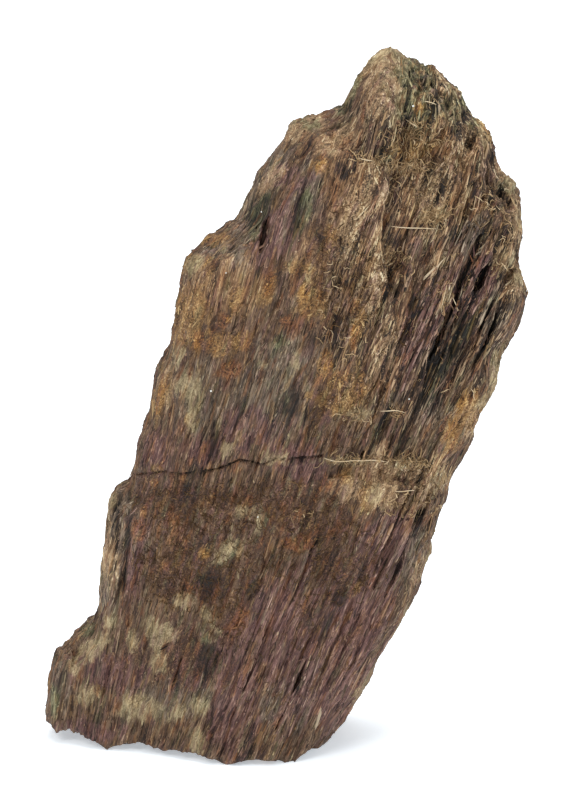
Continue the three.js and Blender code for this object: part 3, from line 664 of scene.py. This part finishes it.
def lay_needles(name, surface, count, weight, length, width, share, seed):
    """Fine needles that lie along the grain, partly sunk, each in one tone.

    `share` places their stations, from -1 at one point to 1 at the other.
    """
    rng = np.random.default_rng(seed)
    roots, normals = surface.sample(count, weight, rng)
    masks = zone_masks(roots, normals)
    coarse = masks["coarse"]
    matted = masks["matted"]
    along = tangent(grain_direction(roots), normals)
    side = np.cross(along, normals)
    # Matted needles lie askew and are shorter, and coarse ones are longer and thicker.
    turn = rng.normal(0, 1, count) * (0.06 + 0.45 * matted)
    along = unit(along * np.cos(turn)[:, None] + side * np.sin(turn)[:, None])
    half = 0.5 * length * rng.lognormal(0, 0.4, count) * (1 + 0.4 * coarse) * (1 - 0.45 * matted)
    radius = 0.5 * width * rng.lognormal(0, 0.3, count) * (1 + 0.15 * coarse)

    paths = roots[:, None] + along[:, None] * (half[:, None] * share)[:, :, None]
    flat = surface.drop(paths, normals)
    bend = flat - flat.mean(axis=1, keepdims=True)
    kept = np.isfinite(flat).all(axis=1) & (np.abs(bend).max(axis=1) < STIFF)
    # None bridges the crack on the front.
    kept &= crack_distance(roots) > 0.8 * half * (normals @ -AHEAD > 0.1)
    # Most are partly sunk, and both points dip into the mass.
    proud = rng.uniform(-0.7, 0.3 + 0.5 * masks["crisp"], count) * radius
    tilt = rng.normal(0, 0.03, count)[:, None] * share
    height = flat + proud[:, None] + tilt - 0.08 * (np.abs(share) == 1)
    paths = inside_box(paths + normals[:, None] * height[:, :, None])[kept]
    radii = radius[kept, None] * np.sqrt(1 - share**2)
    piece, each = new_spindles(name, paths, radii, normals[kept], 3, 0.65)
    tone = rng.uniform(0, 1, count)[kept]
    masks = {kind: mask[kept] for kind, mask in masks.items()}
    paint(piece.data, roots[kept], masks, tone, 0 * tone, each)
    return piece


def lay_crumbs(name, surface, count, weight, size, seed):
    """Crumbs of crust: partly sunk grains with eight faces, each in one tone."""
    rng = np.random.default_rng(seed)
    roots, normals = surface.sample(count, weight, rng)
    heights = surface.drop(roots[:, None], normals)
    near = np.isfinite(heights[:, 0])
    roots, normals, heights = roots[near], normals[near], heights[near]
    count = len(roots)
    first = tangent(grain_direction(roots) + rng.normal(0, 0.6, (count, 3)), normals)
    second = np.cross(normals, first)
    half = 0.5 * size * rng.lognormal(0, 0.35, (count, 1))
    middle = roots + normals * (heights + half * rng.uniform(-0.3, 0.25, (count, 1)))
    corners = [
        middle + sign * axis * half * length * rng.uniform(0.6, 1.2, (count, 1))
        for axis, length in ((first, 1.4), (second, 0.9), (normals, 0.7)) for sign in (1, -1)
    ]
    points = inside_box(np.stack(corners, axis=1)).reshape(-1, 3)
    pattern = np.array([
        (0, 2, 4), (2, 1, 4), (1, 3, 4), (3, 0, 4), (2, 0, 5), (1, 2, 5), (3, 1, 5), (0, 3, 5),
    ])
    triangles = (pattern[None] + 6 * np.arange(count)[:, None, None]).reshape(-1, 3)
    piece = new_mesh(name, points, np.column_stack([triangles, triangles[:, 2]]))
    tone = rng.uniform(0.1, 0.9, count)
    paint(piece.data, roots, zone_masks(roots, normals), tone, 0 * tone, 6)
    return piece


def scatter(areas, rng):
    """Pixels spread over oval areas, with a number for each area."""
    marks = []
    for x, y, half_width, half_height, count in areas:
        angle = rng.uniform(0, 2 * math.pi, count)
        reach = np.sqrt(rng.uniform(0, 1, count))
        ring = np.column_stack([np.cos(angle) * half_width, np.sin(angle) * half_height])
        marks.append((x, y) + ring * reach[:, None])
    return np.concatenate(marks)


def lay_hairs(name, surface, areas, length, width, curl, lift, seed):
    """Loose curling hairs over parts of the front, which start and end in the surface."""
    rng = np.random.default_rng(seed)
    roots, normals, _ = surface.under_marks(scatter(areas, rng))
    count = len(roots)
    stations = len(HAIR_TAPER)
    first = tangent(rng.normal(0, 1, (count, 3)) * (1, 1, 0.8), normals)
    side = np.cross(normals, first)
    turn = rng.normal(0, 0.6 * curl, (count, 1)) + rng.normal(0, curl, (count, stations))
    heading = np.cumsum(turn, axis=1)[:, :, None]
    step = length * rng.lognormal(0, 0.4, (count, 1, 1)) / (stations - 1)
    steps = step * (first[:, None] * np.cos(heading) + side[:, None] * np.sin(heading))
    paths = roots[:, None] + np.cumsum(steps, axis=1) - steps[:, :1]
    flat = surface.drop(paths, normals)
    kept = np.isfinite(flat).all(axis=1) & (np.ptp(flat, axis=1) < 0.7)
    bow = np.sin(np.linspace(0, math.pi, stations)) * rng.uniform(0.15, 1, (count, 1)) * lift
    height = 0.4 * flat + 0.6 * flat.max(axis=1, keepdims=True) + bow
    height[:, (0, -1)] = flat[:, (0, -1)] - 0.03
    paths = inside_box(paths + normals[:, None] * height[:, :, None])[kept]
    radius = 0.5 * width * rng.lognormal(0, 0.25, count)[kept, None]
    piece, each = new_spindles(name, paths, radius * HAIR_TAPER, normals[kept], 3)
    set_attribute(piece.data, "tone", np.repeat(rng.uniform(0, 1, kept.sum()), each))
    return piece


def lay_straws(name, surface, width, seed):
    """Single long straws, each from one place to another with a bow over the surface."""
    rng = np.random.default_rng(seed)
    stations = 10
    share = np.linspace(0, 1, stations)
    paths = []
    ups = []
    for start, end, bow in STRAWS:
        marks = np.outer(1 - share, start) + np.outer(share, end)
        marks[1:-1] += rng.normal(0, 0.5, (stations - 2, 2))
        points, normals, found = surface.under_marks(marks)
        if not found.all():
            continue
        chord = np.outer(1 - share, points[0]) + np.outer(share, points[-1])
        proud = np.maximum(np.sum((points - chord) * -AHEAD, axis=1), 0)
        rise = proud + bow * np.sin(math.pi * share) ** 0.7
        side = unit(np.cross(points[-1] - points[0], AHEAD))
        length = np.linalg.norm(points[-1] - points[0])
        bend = rng.normal(0, 0.02) * np.sin(math.pi * share)
        bend += rng.normal(0, 0.012) * np.sin(RIPPLE * share)
        paths.append(chord - AHEAD * rise[:, None] + side * length * bend[:, None])
        ups.append(unit(normals.mean(axis=0)))
    radii = np.tile(0.5 * width * np.sin(math.pi * share) ** 0.4, (len(paths), 1))
    piece, each = new_spindles(name, inside_box(np.array(paths)), radii, np.array(ups), 5)
    set_attribute(piece.data, "tone", np.full(len(paths) * each, 1.1))
    return piece


def lay_flakes(name, surface, seed):
    """Small tilted flakes, thin six-sided plates that catch the light."""
    rng = np.random.default_rng(seed)
    flakes = np.array(FLAKES)
    roots, normals, found = surface.under_marks(flakes[:, :2])
    bpy.ops.object.select_all(action="DESELECT")
    plates = []
    for root, normal, size in zip(roots, normals, flakes[found, 2]):
        tilted = unit(0.6 * normal + 0.4 * -AHEAD + rng.normal(0, 0.12, 3))
        turn = Vector(tilted).to_track_quat("Z", "Y").to_euler()
        place = (root + normal * 0.1) * METRES
        bpy.ops.mesh.primitive_cylinder_add(
            vertices=6, radius=0.5 * size * METRES, depth=0.25 * size * METRES,
            location=place, rotation=turn,
        )
        plates.append(bpy.context.object)
    for plate in plates:
        plate.select_set(True)
    bpy.ops.object.join()
    bpy.ops.object.transform_apply(location=True, rotation=True, scale=True)
    piece = bpy.context.object
    piece.name = piece.data.name = name
    return piece


def fill_inputs(tree, node, inputs):
    """Links a node's inputs from sockets, or sets them to values, by name or number."""
    for socket, source in inputs.items():
        if isinstance(source, bpy.types.NodeSocket):
            tree.links.new(source, node.inputs[socket])
        else:
            node.inputs[socket].default_value = source


def add_node(tree, kind, inputs=None, **settings):
    """A node with its settings and its inputs."""
    node = tree.nodes.new(kind)
    for key, value in settings.items():
        setattr(node, key, value)
    fill_inputs(tree, node, inputs or {})
    return node


def new_material(name):
    """A material with its node tree and its shader."""
    material = bpy.data.materials.new(name)
    material.use_nodes = True
    return material, material.node_tree, material.node_tree.nodes["Principled BSDF"]


def linear(hex_colour):
    """An sRGB hex colour as the linear numbers that the shaders use."""
    channels = [int(hex_colour[i:i + 2], 16) / 255 for i in (1, 3, 5)]
    return [c / 12.92 if c <= 0.04045 else ((c + 0.055) / 1.055) ** 2.4 for c in channels] + [1]


def multiply_add(tree, value, share, base):
    """The value times its share, added to a base."""
    inputs = {0: value, 1: share, 2: base}
    return add_node(tree, "ShaderNodeMath", inputs, operation="MULTIPLY_ADD").outputs[0]


def read(tree, name, output="Fac"):
    """A value that `paint` or `set_attribute` gave the mesh."""
    return add_node(tree, "ShaderNodeAttribute", attribute_name=name).outputs[output]


def ramp(tree, value, colours):
    """Colours at even steps of a value from 0 to 1."""
    node = add_node(tree, "ShaderNodeValToRGB", {"Fac": value})
    stops = node.color_ramp.elements
    while len(stops) < len(colours):
        stops.new(0.5)
    for i, colour in enumerate(colours):
        stops[i].position = i / (len(colours) - 1)
        stops[i].color = linear(colour)
    return node.outputs["Color"]


# How fully each kind of surface covers what is under it, in the order in which they lie.
ZONE_STRENGTHS = {
    "grey": 0.7, "violet": 0.7, "tan": 0.7, "pale": 0.8, "moss": 0.8, "green": 0.7, "ochre": 0.7,
    "rust": 0.65, "cream": 0.7, "amber": 0.5, "dark": 0.45,
}
# The colours of each kind of surface, from the dirt and painted shade between its fibres to their lit
# crests.
COLOURS = {
    "base": ["#170e08", "#38271c", "#5c4535", "#806652", "#aa9076"],
    "grey": ["#1c1713", "#433931", "#695c50", "#8d7f71", "#b8aa99"],
    "violet": ["#1c1111", "#442c2d", "#6b4a4b", "#8e6967", "#b4928b"],
    "tan": ["#241710", "#5a402d", "#8d6a4c", "#b9956f", "#e3c8a0"],
    "pale": ["#2a1f15", "#6b543e", "#a58869", "#ceb28f", "#f2e2c2"],
    "moss": ["#150b06", "#321d12", "#4c3021", "#694a35", "#957556"],
    "ochre": ["#26170b", "#593d20", "#886539", "#b38c57", "#dabc86"],
    "rust": ["#1f1007", "#4b2914", "#764524", "#9b6234", "#bf8a56"],
    "green": ["#12150b", "#34371f", "#5e5f40", "#88886a", "#b5b28c"],
    "cream": ["#382c1f", "#72634a", "#a08e6d", "#c9b893", "#efe4c6"],
    "amber": ["#36200c", "#6e451b", "#9f6e2e", "#c4934c", "#e6c488"],
    # The dark kind is painted shade for grooves and gaps.
    "dark": ["#050302", "#100a05", "#20160e", "#36281c", "#544331"],
}


def mineral():
    """Dumortierite: a hard borosilicate in silky to dull needles, stained by iron and dirt.

    Each needle has a tone of its own, streaks run along the grain, and hollows are darkened as dirt and
    as painted shade. A slight yellow tint over it all is painted warm light. It is rough, with the
    faint silky gloss of fibres.
    """
    material, tree, shader = new_material("dumortierite_fibrous")
    grain = read(tree, "grain", "Vector")
    shares = {name: read(tree, name) for name in ["tone", "hollow_dirt_and_shade", "matted", "crisp", *ZONES]}

    def streaks(width, length, detail=2.0, seed=0.0):
        """Noise with cells of a width and, along the needles, a length in millimetres."""
        size = (1 / width, 1 / width, 1 / length)
        inputs = {"Vector": grain, "Location": (seed, seed, seed), "Scale": size}
        place = add_node(tree, "ShaderNodeMapping", inputs).outputs["Vector"]
        inputs = {"Vector": place, "Scale": 1.0, "Detail": detail, "Roughness": 0.6}
        return add_node(tree, "ShaderNodeTexNoise", inputs).outputs["Fac"]

    # Streaks give way to dots where the needles are matted or lie under a crust.
    dots = streaks(0.2, 0.24, 3.0, 5.0)
    lines = streaks(0.15, 3.0, 3.0)
    inputs = {"Factor": shares["matted"], 2: lines, 3: dots}
    fine = add_node(tree, "ShaderNodeMix", inputs).outputs["Result"]
    wide = streaks(0.8, 6.0, 2.0, 9.0)
    flecks = streaks(0.3, 0.5, 2.0, 21.0)

    # How light the surface is: each pattern has a share. The first four lie round a half.
    patterns = [(fine, 2.0), (wide, 0.8), (flecks, 0.55), (shares["tone"], 0.6)]
    lightness = 0.54
    value = lightness - 0.5 * sum(share for _, share in patterns)
    # Darkened: hollows of the relief, as dirt and painted shade, and dark grooves, as painted shade.
    patterns += [(shares["hollow_dirt_and_shade"], -0.6), (shares["dark"], -0.2)]
    for pattern, share in patterns:
        value = multiply_add(tree, pattern, share, value)
    # Crisp areas have more contrast round the middle, painted highlight on their tips and shade in
    # their gaps, and cream ones less.
    middle = 0.55
    contrast = multiply_add(tree, shares["crisp"], 0.5, 0.85)
    contrast = multiply_add(tree, shares["cream"], -0.12, contrast)
    off_middle = multiply_add(tree, value, 1.0, -middle)
    value = multiply_add(tree, off_middle, contrast, middle)

    def cover(under, kind, pattern, low, high, strength):
        """The colours of a kind laid over others, as far as a pattern rises from low to high."""
        inputs = {"Value": pattern, "From Min": low, "From Max": high, "To Max": strength}
        share = add_node(tree, "ShaderNodeMapRange", inputs, interpolation_type="SMOOTHSTEP")
        inputs = {"Factor": share.outputs["Result"], 6: under, 7: ramp(tree, value, COLOURS[kind])}
        return add_node(tree, "ShaderNodeMix", inputs, data_type="RGBA").outputs[2]

    # A zone starts where its share and the fraying of its edge add up to the first value below.
    starts, full = 1.4, 2.2
    fraying = 2.4
    colour = ramp(tree, value, COLOURS["base"])
    streaked_edge = streaks(0.35, 2.4, 4.0, 33.0)
    round_edge = streaks(0.6, 0.8, 4.0, 41.0)
    for kind, strength in ZONE_STRENGTHS.items():
        edge = round_edge if kind in CRUSTS else streaked_edge
        reach = multiply_add(tree, edge, fraying, shares[kind])
        colour = cover(colour, kind, reach, starts, full, strength)
    # Bundles of needles are stained warm, cool or violet wherever they lie.
    hue = streaks(0.9, 3.2, 1.5, 50.0)
    colour = cover(colour, "rust", hue, 0.54, 0.7, 0.5)
    colour = cover(colour, "green", hue, 0.46, 0.3, 0.35)
    other_hue = streaks(0.8, 2.6, 1.5, 71.0)
    colour = cover(colour, "violet", other_hue, 0.54, 0.7, 0.4)
    colour = cover(colour, "ochre", other_hue, 0.44, 0.3, 0.35)
    # A slight yellow tint over all of it is painted warm light, making up for the bluish world and
    # floor light.
    inputs = {"Factor": 1.0, 6: colour, 7: linear("#fffdf5")}
    warm_light_tint = add_node(tree, "ShaderNodeMix", inputs, data_type="RGBA", blend_type="MULTIPLY").outputs[2]
    inputs = {"Height": fine, "Strength": 0.7, "Distance": 0.15 * METRES}
    lined = add_node(tree, "ShaderNodeBump", inputs).outputs["Normal"]
    inputs = {"Height": flecks, "Strength": 0.35, "Distance": 0.12 * METRES, "Normal": lined}
    rough = add_node(tree, "ShaderNodeBump", inputs).outputs["Normal"]
    finish = {"Roughness": 0.66, "IOR": 1.6, "Specular IOR Level": 0.28}
    fill_inputs(tree, shader, {"Base Color": warm_light_tint, "Normal": rough, **finish})
    return material


def plant_fibre(name, colours):
    """Dry plant fibre, a dull cellulose thread: each hair has one tone, from dark to bleached."""
    material, tree, shader = new_material(name)
    place = add_node(tree, "ShaderNodeTexCoord").outputs["Object"]
    inputs = {"Vector": place, "Scale": 1500, "Detail": 2}
    spots = add_node(tree, "ShaderNodeTexNoise", inputs).outputs["Fac"]
    value = multiply_add(tree, multiply_add(tree, spots, 1.0, read(tree, "tone")), 0.5, 0.0)
    finish = {"Roughness": 0.75, "Specular IOR Level": 0.25}
    fill_inputs(tree, shader, {"Base Color": ramp(tree, value, colours), **finish})
    return material


def mica():
    """Muscovite: clear to silvery sheets with a pearly shine, so a flake is a small white glint."""
    material, tree, shader = new_material("muscovite_mica")
    place = add_node(tree, "ShaderNodeTexCoord").outputs["Object"]
    cloud = add_node(tree, "ShaderNodeTexNoise", {"Vector": place, "Scale": 4000}).outputs["Fac"]
    colour = ramp(tree, cloud, ["#b9b6a8", "#f2f1ea"])
    fill_inputs(tree, shader, {"Base Color": colour, "Roughness": 0.22, "IOR": 1.58})
    return material


def finish_piece(piece, material):
    piece.data.materials.clear()
    piece.data.materials.append(material)
    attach(piece, BODY)


def studio():
    """A white floor in soft white light."""
    paper, tree, shader = new_material("white_paper")
    glow = {"Emission Color": linear("#eef7ff"), "Emission Strength": 0.45}
    fill_inputs(tree, shader, {"Base Color": linear("#f5f9fc"), "Roughness": 0.9, **glow})
    bpy.ops.mesh.primitive_plane_add(size=8, location=(0, 0, 0))
    floor = bpy.context.object
    floor.name = "floor"
    floor.data.materials.append(paper)
    world = bpy.data.worlds.new("studio")
    world.use_nodes = True
    background = world.node_tree.nodes["Background"]
    background.inputs["Color"].default_value = (0.97, 0.99, 1.0, 1)
    background.inputs["Strength"].default_value = 0.5
    bpy.context.scene.world = world
    # Each lamp's name, place and size in metres, and power in watts. All point at the specimen.
    lamps = [
        ("key", (-0.55, -0.9, 0.95), 0.5, 6.0),
        ("fill", (0.9, -0.7, 0.5), 0.7, 1.5),
        ("top", (0.1, 0.2, 1.2), 0.9, 11),
    ]
    middle = Vector((0, 0, 0.045))
    for name, place, size, power in lamps:
        data = bpy.data.lights.new(name, "AREA")
        data.size = size
        data.energy = power
        lamp = bpy.data.objects.new(name, data)
        lamp.location = place
        lamp.rotation_euler = (middle - Vector(place)).to_track_quat("-Z", "Y").to_euler()
        bpy.context.scene.collection.objects.link(lamp)
    bpy.context.scene.view_settings.view_transform = "Standard"


def camera():
    """Looks from where the reference picture was taken, with its frame."""
    data = bpy.data.cameras.new("camera")
    data.sensor_width = SENSOR
    data.lens = SENSOR * DISTANCE * PX_PER_MM / PICTURE[1]
    data.clip_start = 0.01
    piece = bpy.data.objects.new("camera", data)
    bpy.context.scene.collection.objects.link(piece)
    piece.location = Vector(EYE * METRES)
    piece.rotation_euler = Vector(AHEAD).to_track_quat("-Z", "Y").to_euler()
    bpy.context.scene.camera = piece


def dress_mass(stone):
    """The fine copy with its relief and its colours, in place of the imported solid."""
    mass = fine_copy()
    split_faces_at_crack(mass)
    relief = give_relief(mass)
    points = read_points(mass.data) / METRES
    normals = read_points(mass.data, "normal")
    tone = 0.4 + 0.25 * noise(straightened(points), (0.8, 0.8, 9), 200)
    # Darker where the relief is sunk: dirt and painted shade in the hollows.
    hollow_dirt_and_shade = smooth(0.05, -0.8, relief)
    paint(mass.data, points, zone_masks(points, normals), tone, hollow_dirt_and_shade)
    for face in mass.data.polygons:
        face.use_smooth = True
    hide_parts(NODE)
    finish_piece(mass, stone)
    return mass


def cover_with_needles(surface, sides, stone):
    """All layers of needles: few on broken ends, near the floor, in dark gaps and under mats."""
    bare_share = smooth(0.01, 0.08, surface.across) * smooth(0.3, 1.2, surface.centres[:, 2])
    bare_share *= 1 - 0.4 * surface.masks["dark"]
    for number, (side, count, length, width, stations) in enumerate(NEEDLES, 1):
        weight = sides[side] * bare_share * (1 - 0.5 * surface.masks["matted"])
        name = f"needles_{number}"
        needles = lay_needles(name, surface, count, weight, length, width, stations, number)
        finish_piece(needles, stone)


def cover_with_crumbs(surface, sides, stone):
    """All layers of crumbs: most where crust mats the needles or they are pale, few in cream."""
    crumbly = surface.masks["matted"] + 0.6 * surface.masks["pale"] + 0.5 * surface.masks["tan"]
    crumbly *= 1 - 0.7 * surface.masks["cream"]
    for number, (side, count, size) in enumerate(CRUMBS, 1):
        weight = sides[side] * (0.08 + crumbly)
        crumbs = lay_crumbs(f"crumbs_{number}", surface, count, weight, size, 10 + number)
        finish_piece(crumbs, stone)


def cover_with_fibres(surface):
    """Straw-coloured hairs and long straws, and brown curls."""
    straw = plant_fibre("straw_fibre", ["#4d3a27", "#8c7150", "#c2a47a", "#f0e0c2"])
    root_hair = plant_fibre("brown_root_hair", ["#22150b", "#43301d", "#6b5033", "#9c7d52"])
    hairs = lay_hairs(
        "straw_hairs", surface, STRAW_TANGLES, length=1.15, width=0.1, curl=0.65, lift=0.35, seed=21,
    )
    curls = lay_hairs(
        "brown_curls", surface, BROWN_CURLS, length=0.85, width=0.08, curl=0.5, lift=0.22, seed=22,
    )
    finish_piece(hairs, straw)
    finish_piece(curls, root_hair)
    finish_piece(lay_straws("straws", surface, width=0.12, seed=23), straw)


stone = mineral()
surface = Surface(dress_mass(stone))
front_share = smooth(-0.15, 0.2, surface.normals @ -AHEAD)
sides = {"front": front_share, "back": 1 - front_share}
cover_with_needles(surface, sides, stone)
cover_with_crumbs(surface, sides, stone)
cover_with_fibres(surface)
finish_piece(lay_flakes("mica_flakes", surface, seed=24), mica())

studio()
camera()
